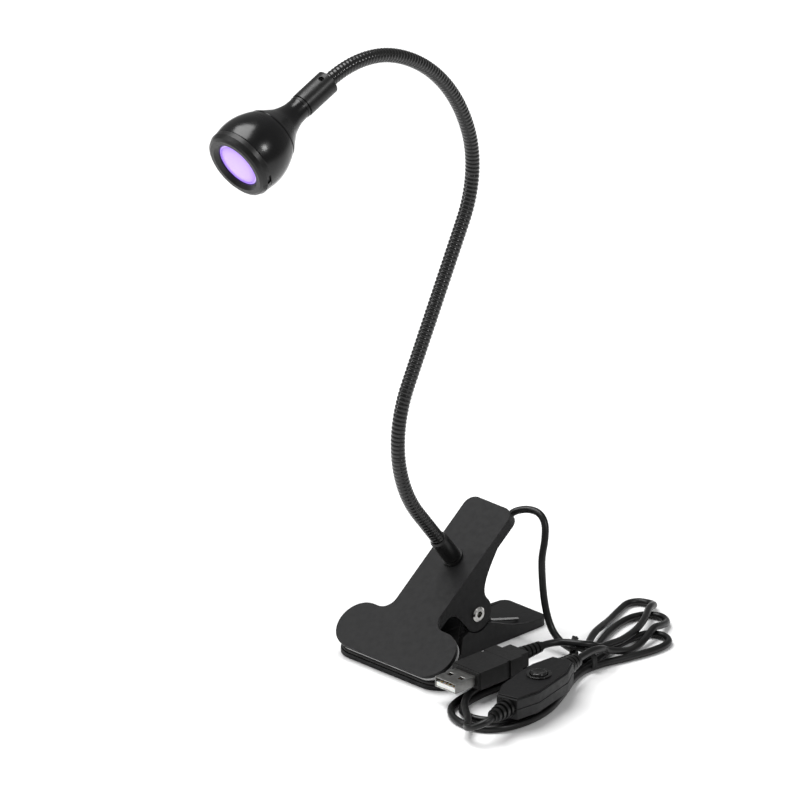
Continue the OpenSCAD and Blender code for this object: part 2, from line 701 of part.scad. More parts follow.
module button_ring() {
  color("#0c0c0c") on_switch() translate([0, button_at, switch_h]) difference() {
    union() {
      cylinder(r = well_r, h = 0.7);
      translate([0, 0, -cover_t]) cylinder(r = well_r - 0.4, h = cover_t + eps);
    }
    translate([0, 0, -cover_t - 1]) cylinder(r = button_r + gap, h = cover_t + 3);
  }
}
module switch_button() {
  proud = 1.7;
  color("#0a0a0a") on_switch() translate([0, button_at, 0]) rotate_extrude($fn = 64)
    polygon([[0, foot_z], [1.6, foot_z], [1.6, foot_z + 0.7], [button_r, foot_z + 0.7],
      [button_r, switch_h + proud - 0.6],
      [button_r - 0.6, switch_h + proud], [1.6, switch_h + proud - 0.35], [0, switch_h + proud - 0.45]]);
}
module switch_block() {
  color("#3a3a3a") on_switch() difference() {
    translate([-4, button_at - 5, cover_t]) cube([8, 10, block_h]);
    translate([0, button_at, seat_z]) cylinder(r = 2.6, h = block_h + 1);
  }
}
module button_spring() {
  turns = 4;
  z0 = seat_z + spring_wire_r + 0.02;
  z1 = foot_z - spring_wire_r - 0.07;
  coil = [for (a = [0:30:360 * turns])
    [1.7 * cos(a), button_at + 1.7 * sin(a), z0 + (z1 - z0) * a / (360 * turns)]];
  color("#c8c8c8") on_switch() tube(coil, spring_wire_r, 6, [0.02, 0.03, 1]);
}
module switch_screws() {
  color("#909090") on_switch() for (p = screw_spots) translate([p.x, p.y, 0]) {
    cylinder(r = 1.8, h = 0.99);
    cylinder(r = 0.7, h = switch_h - 1.8);
  }
}
// Ribbed sleeve along Y, wide end at the origin
module relief(length, r0, r1, ribs) {
  pitch = (length - 1) / ribs;
  rotate([-90, 0, 0]) difference() {
    union() {
      translate([0, 0, -2.4]) cylinder(r = 2.15, h = 2.5);
      cylinder(r1 = r0 - 0.9, r2 = r1 - 0.5, h = length);
      for (i = [0:ribs - 1]) translate([0, 0, pitch * i + 0.4])
        cylinder(r = r0 + (r1 - r0) * i / ribs, h = 0.6 * pitch);
    }
    translate([0, 0, -4]) cylinder(r = lead_r, h = length + 4 - 0.01);
  }
}
module switch_relief_front() {
  color("#121212") on_switch() translate([0, -switch_l / 2, switch_seam]) rotate([0, 0, 180])
    relief(relief_l, relief_r[0], relief_r[1], 4);
}
module switch_relief_rear() {
  color("#121212") on_switch() translate([0, switch_l / 2, switch_seam])
    relief(relief_l, relief_r[0], relief_r[1], 4);
}

// ---- plug ----
module on_plug() {
  translate([plug_at.x, plug_at.y, plug_at.z + plug_axis_z]) children();
}
module grip_block(w, h, y0, y1) {
  translate([-w / 2, y0, -h / 2]) cube([w, y1 - y0, h]);
}
module plug_body() {
  y0 = plug_l;
  y1 = plug_l + grip_l;
  color("#161616") on_plug() difference() {
    union() {
      grip_block(grip_w - 0.6, grip_h - 0.6, y0, y0 + 1);
      grip_block(grip_w, grip_h, y0 + 0.9, y0 + 17);
      grip_block(grip_w - 1.6, grip_h - 0.2, y0 + 16.9, y0 + 19);
      grip_block(grip_w, grip_h, y0 + 18.9, y1 - 6);
      grip_block(grip_w - 5, grip_h - 1.6, y1 - 6.1, y1);
    }
    translate([-plug_w / 2, 0, -plug_h / 2]) cube([plug_w, plug_l + 6, plug_h]);
    rotate([-90, 0, 0]) cylinder(r = 2.2, h = 100);
  }
}
module plug_shell() {
  inner_w = plug_w - 2 * shell_t_m;
  inner_h = plug_h - 2 * shell_t_m;
  color("#909090") on_plug() difference() {
    translate([-plug_w / 2, 0, -plug_h / 2]) cube([plug_w, plug_l + 6, plug_h]);
    translate([-inner_w / 2, -1, -inner_h / 2]) cube([inner_w, plug_l + 8, inner_h]);
    // the pairs of square latch windows
    for (x = [-3.2, 3.2]) translate([x - 1.25, 5.2, -plug_h]) cube([2.5, 2.2, 2 * plug_h]);
  }
}
module plug_tongue() {
  inner_w = plug_w - 2 * shell_t_m;
  low = shell_t_m - plug_h / 2;
  color("#f2f2f0") on_plug() {
    translate([-inner_w / 2 + 0.1, 0.4, low]) cube([inner_w - 0.2, plug_l + 4, tongue_h]);
  }
}
module plug_contacts() {
  top = shell_t_m - plug_h / 2 + tongue_h;
  color("#d8b050") on_plug() for (x = [-3.5, -1, 1, 3.5])
    translate([x - 0.5, 1.4, top]) cube([1, plug_l - 2, 0.15]);
}
module plug_relief() {
  color("#121212") on_plug() translate([0, plug_l + grip_l, 0]) relief(13.4, 3.2, 2.3, 5);
}

lower_arm();
lower_jaw_pad();
upper_arm();
upper_jaw_pad();
hinge_rivet();
torsion_spring();
neck_sleeve();
sleeve_nut();
sleeve_washer();
cord_clamp();
clamp_screws();
cord_inside_arm();
gooseneck_1();
gooseneck_2();
gooseneck_3();
gooseneck_4();
gooseneck_5();
gooseneck_6();
head_collar();
set_screw();
head_front_shell();
head_belly_shell();
head_bezel();
lens();
lens_seal();
reflector();
led_board();
led_emitter();
board_screws();
heat_plate();
cord_drop();
cord_rear_hank();
cord_front_hank();
cord_tie();
cord_switch_front();
cord_switch_rear();
cord_plug_tail();
switch_base();
switch_cover();
switch_button();
button_ring();
switch_block();
button_spring();
switch_screws();
switch_relief_front();
switch_relief_rear();
plug_body();
plug_shell();
plug_tongue();
plug_contacts();
plug_relief();
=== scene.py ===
"""Looks of a clip-on ultraviolet curing lamp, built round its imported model. Metres, +Z up."""

import json
import math

import bmesh
import bpy
from mathutils import Matrix, Vector


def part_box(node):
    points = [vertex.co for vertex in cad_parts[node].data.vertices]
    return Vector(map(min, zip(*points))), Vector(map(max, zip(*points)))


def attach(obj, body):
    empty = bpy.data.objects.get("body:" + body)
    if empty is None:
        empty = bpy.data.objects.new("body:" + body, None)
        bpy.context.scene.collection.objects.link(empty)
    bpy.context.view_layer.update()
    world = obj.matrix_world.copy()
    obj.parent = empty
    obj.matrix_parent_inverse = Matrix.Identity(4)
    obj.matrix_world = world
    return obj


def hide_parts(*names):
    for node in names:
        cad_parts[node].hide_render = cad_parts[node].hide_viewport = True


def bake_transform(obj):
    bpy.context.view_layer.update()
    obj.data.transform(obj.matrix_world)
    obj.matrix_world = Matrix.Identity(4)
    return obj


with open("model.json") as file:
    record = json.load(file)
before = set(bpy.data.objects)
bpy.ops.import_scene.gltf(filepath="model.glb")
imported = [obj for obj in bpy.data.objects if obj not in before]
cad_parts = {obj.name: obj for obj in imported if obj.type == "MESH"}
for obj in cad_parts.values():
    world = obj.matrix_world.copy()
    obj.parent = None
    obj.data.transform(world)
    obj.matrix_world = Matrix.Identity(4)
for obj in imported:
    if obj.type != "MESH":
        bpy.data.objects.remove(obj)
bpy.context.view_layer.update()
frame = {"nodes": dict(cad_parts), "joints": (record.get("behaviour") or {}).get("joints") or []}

bl_info = {
    "name": "Curing lamp looks",
    "version": (1, 0, 0),
    "blender": (4, 5, 0),
    "location": "View3D > Sidebar > Curing lamp",
    "description": "Builds the finished pieces, materials and stage of a clip-on curing lamp",
    "category": "Object",
}

MM = 0.001
JOINTS = {joint["name"]: joint for joint in frame["joints"]}

# The lead's route in millimetres, in the order that it runs: the stretch from the lamp to the switch
DROP_ROUTE = [
    (6, 21, 49.4), (6, 24.4, 52), (7.5, 27, 54.4), (12, 30, 55.8), (17.5, 31.2, 55.3), (21.5, 30.6, 52),
    (23.5, 28.6, 46), (24.5, 26, 39), (25.5, 25, 32), (27.5, 24, 23), (30, 23.6, 15), (33.5, 23.4, 9),
    (38.5, 23.4, 5.5), (44, 23.4, 4.2),
]
FRONT_OUTER_TURN = [
    (47.7, 22.1, 4.3), (50.1, 18.9, 4.5), (50.7, 14, 4.4), (49.2, 8, 4), (46.4, 0, 2.6), (44.6, -9, 1.7),
    (43.7, -20, 1.6), (43.2, -32, 1.6), (44.2, -43, 1.6), (48, -51.5, 1.6), (55, -57, 1.6), (64, -58.6, 1.6),
    (73, -55.5, 1.6), (78.3, -47, 1.6), (79.6, -35, 1.6), (77.2, -22.5, 1.6), (71, -9, 1.6), (63.8, 4, 1.6),
    (60.4, 13, 1.6), (59.6, 20, 1.6),
]
REAR_RIGHT_TURN = [
    (60.6, 28, 1.6), (63.2, 38, 1.6), (65.4, 49, 1.6), (65.6, 57, 1.6), (63.4, 62.2, 1.6), (58.2, 64.4, 1.6),
    (53, 62.2, 1.6), (50.8, 57, 1.6), (51.2, 46, 1.6), (53.6, 34, 1.6), (55.8, 26, 1.6), (56.5, 20, 1.6),
]
FRONT_INNER_TURN = [
    (57.4, 13, 1.6), (60.2, 4, 1.6), (66, -9, 1.6), (71.6, -21, 1.6), (74.4, -33, 1.6), (72, -43.5, 1.6),
    (65, -50.5, 1.6), (56.5, -51.5, 1.6), (50.4, -47, 1.6), (47.4, -38, 1.6), (46.7, -26, 1.6),
    (47.9, -12, 1.6), (50.2, 4, 1.6), (52.4, 13, 1.6), (53.4, 20, 1.6),
]
REAR_MIDDLE_TURN = [
    (51.8, 27, 1.6), (47.8, 34, 1.6), (43, 43, 1.6), (39, 52, 1.6), (36.2, 61, 1.6), (35.6, 69, 1.6),
    (38.2, 75.2, 1.6), (43.8, 77.8, 1.6), (49.6, 75, 1.9), (52.8, 68.8, 3.4), (54.6, 62.6, 4.8),
    (56.6, 56.4, 3.6), (58.4, 49.6, 2.2), (59.8, 42.6, 2.4), (60.4, 35.6, 4.4),
]
SWITCH_REAR_ROUTE = [
    (60, 28, 7.2), (61, 26, 8.6), (62.1, 22, 10.1), (62.6, 18.5, 10.9), (63.1, 15, 11.1), (64, 10.4, 11.2),
    (64.8, 6.77, 11.2),
]
# The stretch from the switch to the plug
SWITCH_FRONT_ROUTE = [
    (81.61, -61.17, 11.2), (81.9, -63.6, 10.7), (81.1, -66.2, 9.8), (79, -68, 8.6), (76.2, -68.6, 7.4),
    (73.4, -67.6, 6.2), (70.9, -65.4, 5.3),
]
FRONT_UPPER_RUN = [
    (67.6, -61.4, 4.8), (63.4, -57.2, 4.7), (58.2, -53.2, 4.7), (52.6, -48.2, 4.7), (48, -41, 4.7),
    (45.6, -31, 4.7), (45.2, -20, 4.7), (47, -8, 4.7), (50.8, 4, 4.7), (54, 12.5, 4.7), (54.8, 20, 4.6),
]
REAR_LEFT_TURN = [
    (51, 26.5, 4.7), (45.4, 33, 4.7), (40.2, 41.5, 4.6), (35.8, 50, 3.4), (31.4, 59, 1.9), (27, 69, 1.6),
    (24.2, 77.2, 1.6), (25.9, 82.1, 1.6), (30.3, 84, 1.7), (34.9, 82.2, 2.9), (37.4, 78.2, 4.4),
    (40, 73.8, 4.8), (43.8, 68.4, 4.7), (47.9, 61.2, 4.6), (51.6, 53, 4.8), (54.6, 43, 5.4),
    (56.2, 34.5, 6.7),
]
PLUG_ROUTE = [
    (56.5, 28, 7.4), (55.5, 24.5, 9.2), (53, 20.6, 10), (48.5, 18, 10), (45, 15, 10), (43.4, 11, 10.1),
    (43, 7.4, 10.2),
]
# Ends of the twist tie
TIE_TAIL_A = [(48.6, 20.6, 6.2), (46.8, 21.6, 7.4), (45.6, 23.2, 8.4), (45, 24.6, 9.8)]
TIE_TAIL_B = [(48.8, 19.4, 6.4), (47, 20.2, 7.9), (46.6, 22.4, 8.9), (47.6, 24, 10.2)]


def hex_colour(code):
    """Linear RGBA of an sRGB hex colour."""
    parts = [int(code[i : i + 2], 16) / 255 for i in (0, 2, 4)]
    return tuple(c / 12.92 if c <= 0.04045 else ((c + 0.055) / 1.055) ** 2.4 for c in parts) + (1.0,)


def colour(name, description, code):
    return bpy.props.FloatVectorProperty(
        name=name, description=description, subtype="COLOR", size=4, min=0, max=1, default=hex_colour(code)
    )


def length(name, description, mm):
    return bpy.props.FloatProperty(name=name, description=description, unit="LENGTH", default=mm * MM)


class LampSizes(bpy.types.PropertyGroup):
    """Sizes of the finished pieces"""

    lead_d: length("Lead diameter", "Outside of the round two-core lead", 3.1)
    rib_pitch: length("Rib pitch", "Distance between the neck's wound ribs", 1.8)
    rib_depth: length("Rib depth", "Depth of the groove between two ribs", 0.42)
    neck_r: length("Neck radius", "Over the ribs of the bendable neck", 3.08)
    last_bend_r: length("Last bend", "Radius of the neck's bend at the head", 52)
    last_turn: bpy.props.FloatProperty(
        name="Last turn", description="Angle that the last bend turns through",
        subtype="ANGLE", default=math.radians(45),
    )
    sleeve_l: length("Sleeve", "Straight foot of the neck, from the arm to its first bend", 33.5)
    mould_edge: length("Moulded edge", "Rounding of the clip's moulded edges", 0.55)
    wire_d: length("Spring wire", "Diameter of the clip's spring wire", 1.3)


class LampColours(bpy.types.PropertyGroup):
    """Colours of the finishes"""

    clip: colour("Clip", "Moulded ABS of both arms", "111112")
    upper_pad: colour("Upper pad", "Rubber on the upper jaw", "a3a3a3")
    lower_pad: colour("Lower pad", "Rubber on the lower jaw", "2b2b2b")
    neck: colour("Neck", "Lacquered steel of the neck", "060606")
    head: colour("Head", "Gloss lacquer of the head", "050506")
    bezel: colour("Bezel", "Satin lacquer of the bezel and collar", "0b0b0b")
    glow: colour("Glow", "Light of the lens", "b69ae8")
    lead: colour("Lead", "PVC of the lead", "0a0a0a")
    switch: colour("Switch", "Moulded ABS of the switch", "0e0e0f")
    tin: colour("Tin", "Plated shell of the plug", "9c9c9a")


# ---------------------------------------------------------------- materials


def put(tree, kind, inputs=None, **settings):
    """Adds one node. An input given as a socket is linked, any other is set."""
    made = tree.nodes.new("ShaderNode" + kind)
    for key, value in settings.items():
        setattr(made, key, value)
    for key, value in (inputs or {}).items():
        if isinstance(value, bpy.types.NodeSocket):
            tree.links.new(value, made.inputs[key])
        else:
            made.inputs[key].default_value = value
    return made


def surface(name, **shader):
    """A new material with its shader's own values set. Returns (material, tree, shader node)."""
    material = bpy.data.materials.new(name)
    material.use_nodes = True
    tree = material.node_tree
    principled = next(n for n in tree.nodes if n.type == "BSDF_PRINCIPLED")
    for key, value in shader.items():
        principled.inputs[key.replace("_", " ")].default_value = value
    return material, tree, principled


def shade(rgba, factor):
    return tuple(min(1.0, c * factor) for c in rgba[:3]) + (1.0,)


def grain(tree, size, detail=3.0, stretch=(1, 1, 1)):
    """Noise whose cells are about size metres across, stretched along the object's axes."""
    place = put(tree, "TexCoord").outputs["Object"]
    scaled = put(tree, "Mapping", {"Vector": place, "Scale": stretch}).outputs["Vector"]
    return put(tree, "TexNoise", {"Vector": scaled, "Scale": 1 / size, "Detail": detail}).outputs["Fac"]


def mottle(tree, principled, rgba, spread, cells):
    """Base colour that drifts a little lighter and darker over cells metres."""
    ramp = put(tree, "ValToRGB", {"Fac": grain(tree, cells, 2.0)})
    ramp.color_ramp.elements[0].position = 0.3
    ramp.color_ramp.elements[1].position = 0.7
    ramp.color_ramp.elements[0].color = shade(rgba, 1 - spread)
    ramp.color_ramp.elements[1].color = shade(rgba, 1 + spread)
    tree.links.new(ramp.outputs["Color"], principled.inputs["Base Color"])


def uneven(tree, principled, low, high, cells):
    """Roughness that varies between low and high over cells metres."""
    spread = put(tree, "MapRange", {"Value": grain(tree, cells), "From Min": 0.3, "From Max": 0.7,
                                    "To Min": low, "To Max": high})
    tree.links.new(spread.outputs["Result"], principled.inputs["Roughness"])


def relief(tree, principled, height, size, strength=1.0, stretch=(1, 1, 1)):
    """Bump of the given height in metres, from grain of the given size."""
    bump = put(tree, "Bump", {"Height": grain(tree, size, 2.0, stretch), "Distance": height,
                              "Strength": strength})
    tree.links.new(bump.outputs["Normal"], principled.inputs["Normal"])


def moulded_abs(name, rgba, low=0.46, high=0.6):
    """ABS from a spark-eroded mould: a dull even sheen broken by a fine sandy grain."""
    material, tree, principled = surface(name, IOR=1.54, Specular_IOR_Level=0.22)
    mottle(tree, principled, rgba, 0.07, 9 * MM)
    uneven(tree, principled, low, high, 2.5 * MM)
    # real grain is about 0.1 mm; drawn at 0.35 mm so that it shows
    relief(tree, principled, 0.02 * MM, 0.35 * MM, 0.6)
    return material


def pad_rubber(name, rgba):
    """Pressed rubber sheet: no gloss, a slightly chalky, open face."""
    material, tree, principled = surface(name, IOR=1.52)
    mottle(tree, principled, rgba, 0.08, 4 * MM)
    uneven(tree, principled, 0.72, 0.86, 1.5 * MM)
    relief(tree, principled, 0.03 * MM, 0.5 * MM, 0.6)
    return material


def nickel_plate(name, code="d6d5d2", low=0.12, high=0.24):
    """Bright nickel on drawn steel: mirror-like, with faint drawing lines along the wire."""
    material, tree, principled = surface(name, Metallic=1.0)
    mottle(tree, principled, hex_colour(code), 0.05, 3 * MM)
    uneven(tree, principled, low, high, 1.2 * MM)
    relief(tree, principled, 0.01 * MM, 0.3 * MM, 0.4, (1, 0.15, 0.15))
    return material


def lacquered_steel(name, rgba):
    """Black lacquer baked on a wound steel hose: glossy crests, duller where it pools in the grooves."""
    material, tree, principled = surface(name, IOR=1.5, Specular_IOR_Level=0.35, Coat_Weight=0.3,
                                         Coat_Roughness=0.14)
    mottle(tree, principled, rgba, 0.2, 5 * MM)
    uneven(tree, principled, 0.22, 0.36, 1.6 * MM)
    relief(tree, principled, 0.012 * MM, 0.6 * MM, 0.4)
    return material


def gloss_lacquer(name, rgba):
    """Spray lacquer under clear coat: deep black with sharp reflections and a trace of orange peel."""
    material, tree, principled = surface(name, IOR=1.5, Specular_IOR_Level=0.25, Coat_Weight=0.3,
                                         Coat_Roughness=0.18)
    mottle(tree, principled, rgba, 0.15, 12 * MM)
    uneven(tree, principled, 0.2, 0.28, 6 * MM)
    relief(tree, principled, 0.01 * MM, 2.2 * MM, 0.3)
    return material


def satin_lacquer(name, rgba):
    """Satin lacquer on turned aluminium: soft broad highlights over fine lathe marks."""
    material, tree, principled = surface(name, IOR=1.5, Specular_IOR_Level=0.3, Coat_Weight=0.15,
                                         Coat_Roughness=0.3)
    mottle(tree, principled, rgba, 0.12, 5 * MM)
    uneven(tree, principled, 0.32, 0.44, 2 * MM)
    relief(tree, principled, 0.012 * MM, 0.4 * MM, 0.5)
    return material


def lead_pvc(name, rgba):
    """Extruded soft PVC: satin, with a long soft highlight and slight haze from handling."""
    material, tree, principled = surface(name, IOR=1.53, Specular_IOR_Level=0.3)
    mottle(tree, principled, rgba, 0.16, 7 * MM)
    uneven(tree, principled, 0.3, 0.42, 3 * MM)
    relief(tree, principled, 0.012 * MM, 0.7 * MM, 0.5)
    return material


def moulded_pvc(name, rgba):
    """Over-moulded PVC grip: dull, with a leathery grain from the mould."""
    material, tree, principled = surface(name, IOR=1.53, Specular_IOR_Level=0.25)
    mottle(tree, principled, rgba, 0.12, 4 * MM)
    uneven(tree, principled, 0.5, 0.64, 2 * MM)
    relief(tree, principled, 0.03 * MM, 0.45 * MM, 0.8)
    return material


def brushed_tin(name, rgba):
    """Tin-plated sheet steel, brushed along its length: grey, streaky, half-bright."""
    material, tree, principled = surface(name, Metallic=1.0)
    mottle(tree, principled, rgba, 0.1, 2 * MM)
    uneven(tree, principled, 0.3, 0.42, 1.2 * MM)
    relief(tree, principled, 0.01 * MM, 0.2 * MM, 0.5, (1, 0.08, 1))
    return material


def white_nylon(name):
    """Injection-moulded white nylon: bright, waxy and slightly translucent."""
    material, tree, principled = surface(name, IOR=1.53, Subsurface_Weight=0.1, Subsurface_Scale=0.5 * MM)
    mottle(tree, principled, hex_colour("f3f3f0"), 0.03, 3 * MM)
    uneven(tree, principled, 0.35, 0.45, 1.5 * MM)
    return material


def gold_flash(name):
    """Thin gold over nickel on the contacts: warm and bright with wiping marks."""
    material, tree, principled = surface(name, Metallic=1.0)
    mottle(tree, principled, hex_colour("dcb565"), 0.08, 1 * MM)
    uneven(tree, principled, 0.18, 0.32, 0.8 * MM)
    return material


def cast_metal(name, code):
    """Zinc or aluminium hardware: soft grey metal, a little cloudy."""
    material, tree, principled = surface(name, Metallic=1.0)
    mottle(tree, principled, hex_colour(code), 0.08, 2 * MM)
    uneven(tree, principled, 0.34, 0.5, 1 * MM)
    return material


def lit_lens(name, glow, centre, radius):
    """Frosted acrylic lit from behind by a violet emitter: pale in the middle, deep violet near its rim."""
    material, tree, principled = surface(name, Roughness=0.25, IOR=1.49, Coat_Weight=0.3)
    place = put(tree, "TexCoord").outputs["Object"]
    away = put(tree, "VectorMath", {0: place, 1: centre}, operation="DISTANCE").outputs["Value"]
    share = put(tree, "Math", {0: away, 1: radius}, operation="DIVIDE").outputs["Value"]
    ramp = put(tree, "ValToRGB", {"Fac": share})
    stops = (
        (0.0, "b9a3de"), (0.62, "b498e6"), (0.8, "a37ff0"),
        (0.9, "8a5cea"), (0.945, "d8c2ff"), (1.0, "7a4fe0"),
    )
    ramp.color_ramp.elements[0].color = hex_colour(stops[0][1])
    ramp.color_ramp.elements[1].color = hex_colour(stops[-1][1])
    for position, code in stops[1:-1]:
        ramp.color_ramp.elements.new(position).color = hex_colour(code)
    tree.links.new(ramp.outputs["Color"], principled.inputs["Emission Color"])
    principled.inputs["Base Color"].default_value = shade(glow, 0.5)
    principled.inputs["Emission Strength"].default_value = 0.95
    relief(tree, principled, 0.02 * MM, 0.8 * MM, 0.4)
    return material


# ---------------------------------------------------------------- shapes


def new_piece(name, bm, material, smooth=40):
    """A mesh object from a bmesh, shaded smooth up to an angle in degrees."""
    mesh = bpy.data.meshes.new(name)
    bmesh.ops.recalc_face_normals(bm, faces=bm.faces)
    bm.to_mesh(mesh)
    bm.free()
    for face in mesh.polygons:
        face.use_smooth = True
    mesh.set_sharp_from_angle(angle=math.radians(smooth))
    piece = bpy.data.objects.new(name, mesh)
    bpy.context.scene.collection.objects.link(piece)
    mesh.materials.append(material)
    return piece


def settle(piece, body, slot, *nodes):
    """The piece rides on a body and stands for CAD nodes, which it hides. The slot is not used."""
    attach(piece, body)
    if nodes:
        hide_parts(*nodes)
    return piece


def softened(node, body, slot, material, edge, segments=3, angle=34):
    """The CAD node's own shape with its sharp edges rounded, as a new piece that stands for it."""
    bm = bmesh.new()
    bm.from_mesh(frame["nodes"][node].data)
    bmesh.ops.remove_doubles(bm, verts=bm.verts, dist=0.002 * MM)
    bmesh.ops.dissolve_limit(bm, angle_limit=math.radians(0.6), verts=bm.verts, edges=bm.edges)
    piece = new_piece(node + "_finished", bm, material, angle)
    bevel = piece.modifiers.new("rounded edges", "BEVEL")
    bevel.width, bevel.segments = edge, segments
    bevel.limit_method, bevel.angle_limit = "ANGLE", math.radians(angle)
    bevel.use_clamp_overlap = True
    normals = piece.modifiers.new("flat faces", "WEIGHTED_NORMAL")
    normals.keep_sharp = True
    return settle(piece, body, slot, node)


def catmull(points, steps):
    """A smooth curve through the points, with steps pieces to each span."""
    out = []
    for i in range(len(points) - 1):
        a, b, c = points[max(i - 1, 0)], points[i], points[i + 1]
        d = points[min(i + 2, len(points) - 1)]
        for k in range(steps):
            t = k / steps
            out.append(0.5 * (2 * b + (c - a) * t + (2 * a - 5 * b + 4 * c - d) * t * t
                              + (3 * b - a - 3 * c + d) * t ** 3))
    return out + [points[-1]]


def even(points, step):
    """The same line with its points a step apart."""
    total = sum((q - p).length for p, q in zip(points, points[1:]))
    count = max(2, round(total / step))
    out, gone, i = [points[0]], 0.0, 0
    for k in range(1, count):
        goal = total * k / count
        while gone + (points[i + 1] - points[i]).length < goal:
            gone += (points[i + 1] - points[i]).length
            i += 1
        span = points[i + 1] - points[i]
        out.append(points[i] + span * ((goal - gone) / span.length))
    return out + [points[-1]]


def ring(p, side, other, radius_at, i, sides):
    """Places round point i of a line, in the plane of two directions. radius_at(i, angle) is the radius."""
    return [p + (side * math.cos(a) + other * math.sin(a)) * radius_at(i, a)
            for a in (2 * math.pi * k / sides for k in range(sides))]


def skin(rings):
    """A closed skin over rings of places."""
    bm = bmesh.new()
    made = [[bm.verts.new(p) for p in one] for one in rings]
    sides = len(made[0])
    for one, two in zip(made, made[1:]):
        for k in range(sides):
            bm.faces.new((one[k], one[(k + 1) % sides], two[(k + 1) % sides], two[k]))
    bm.faces.new(made[0])
    bm.faces.new(made[-1])
    return bm


def sweep(points, radius_at, sides, up=Vector((0.31, -0.9, 0.3))):
    """A closed skin along the points, carried along without twisting from the direction up."""
    side = up
    rings = []
    for i, p in enumerate(points):
        ahead = (points[min(i + 1, len(points) - 1)] - points[max(i - 1, 0)]).normalized()
        side = (side - ahead * ahead.dot(side)).normalized()
        rings.append(ring(p, side, ahead.cross(side), radius_at, i, sides))
    return skin(rings)


def rings_across(points, radius_at, sides):
    """Rings round a line that stays in the plane across X, so that X is always across it."""
    side = Vector((1, 0, 0))
    rings = []
    for i, p in enumerate(points):
        ahead = (points[min(i + 1, len(points) - 1)] - points[max(i - 1, 0)]).normalized()
        rings.append(ring(p, side, ahead.cross(side), radius_at, i, sides))
    return rings


def lathe(profile, matrix, sides=128):
    """A ring of the closed outline [(radius, distance)] turned round Z, placed by a matrix."""
    bm = bmesh.new()
    columns = []
    for k in range(sides):
        a = 2 * math.pi * k / sides
        columns.append([bm.verts.new(matrix @ Vector((r * math.cos(a), r * math.sin(a), z)))
                        for r, z in profile])
    for k in range(sides):
        one, two = columns[k], columns[(k + 1) % sides]
        for i in range(len(profile)):
            j = (i + 1) % len(profile)
            bm.faces.new((one[i], two[i], two[j], one[j]))
    bmesh.ops.remove_doubles(bm, verts=bm.verts, dist=0.001 * MM)
    return bm


def vec(p):
    """Millimetres to a vector in metres."""
    return Vector(p) * MM


# ---------------------------------------------------------------- places taken from the frame


def direction(angle):
    return Vector((0, math.cos(angle), math.sin(angle)))


def chord(p, q):
    return math.atan2(q.z - p.z, q.y - p.y)


def turn_near(angle, near):
    """The same angle, within half a turn of another."""
    while angle - near > math.pi:
        angle -= 2 * math.pi
    while near - angle > math.pi:
        angle += 2 * math.pi
    return angle


def arc(p, start, q, count):
    """Points from p, leaving it in direction start, round to q. Returns (points, direction at q)."""
    across = turn_near(chord(p, q), start)
    sweep_by = 2 * (across - start)
    if abs(sweep_by) < 1e-4:
        return [p.lerp(q, k / count) for k in range(count)], start
    radius = (q - p).length / (2 * math.sin(sweep_by / 2))
    centre = p + direction(start + math.pi / 2) * radius
    return [centre + direction(start - math.pi / 2 + sweep_by * k / count) * radius for k in range(count)], (
        start + sweep_by
    )


def neck_line(sizes):
    """The neck's centre line, its pivots, and the head's place and direction."""
    foot_parts, bend_parts, parts_in_head, part_in_head = 20, 40, 5, 2 * MM
    pivots = [Vector(JOINTS[f"neck_bend_{i}"]["pos_m"]) for i in range(1, 6)]
    rise = chord(pivots[1], pivots[2])
    first = 2 * turn_near(chord(pivots[0], pivots[1]), rise) - rise
    points = [pivots[0] - direction(first) * sizes.sleeve_l * (1 - k / foot_parts) for k in range(foot_parts)]
    heading = first
    for p, q in zip(pivots, pivots[1:]):
        stretch, heading = arc(p, heading, q, bend_parts)
        points += stretch
    centre = pivots[-1] + direction(heading + math.pi / 2) * sizes.last_bend_r
    for k in range(bend_parts + 1):
        turned = heading - math.pi / 2 + sizes.last_turn * k / bend_parts
        points.append(centre + direction(turned) * sizes.last_bend_r)
    heading += sizes.last_turn
    head_at = points[-1]
    points += [head_at + direction(heading) * part_in_head * k for k in range(1, parts_in_head + 1)]
    return points, pivots, head_at, heading


def head_matrix():
    """Places a piece turned round Z on the head: Z runs from the back of the collar to the lens."""
    _, _, place, heading = neck_line(bpy.context.scene.lamp_sizes)
    return Matrix.Translation(place) @ Matrix.Rotation(heading - math.pi / 2, 4, "X")


# ---------------------------------------------------------------- pieces


class Piece(bpy.types.Operator):
    """What every piece's operator shares"""

    bl_options = {"REGISTER"}

    @property
    def sizes(self):
        return bpy.context.scene.lamp_sizes

    @property
    def colours(self):
        return bpy.context.scene.lamp_colours


class LAMP_OT_camera(Piece):
    """Camera with a long lens, a little above the lamp and to the side of its open jaws"""

    bl_idname = "lamp.camera"
    bl_label = "Camera"

    def execute(self, context):
        azimuth, elevation = math.radians(45), math.radians(23.5)
        target = Vector((0, -33.6, 121.6)) * MM
        away = 12.0
        seen_width = 333.3 * MM
        data = bpy.data.cameras.new("camera")
        data.sensor_width = 36
        data.lens = data.sensor_width * away / seen_width
        data.clip_start, data.clip_end = 1, 60
        camera = bpy.data.objects.new("camera", data)
        context.scene.collection.objects.link(camera)
        back = Vector((math.sin(azimuth) * math.cos(elevation), -math.cos(azimuth) * math.cos(elevation),
                       math.sin(elevation)))
        camera.location = target + back * away
        camera.rotation_mode = "QUATERNION"
        camera.rotation_quaternion = (-back).to_track_quat("-Z", "Y")
        context.scene.camera = camera
        return {"FINISHED"}


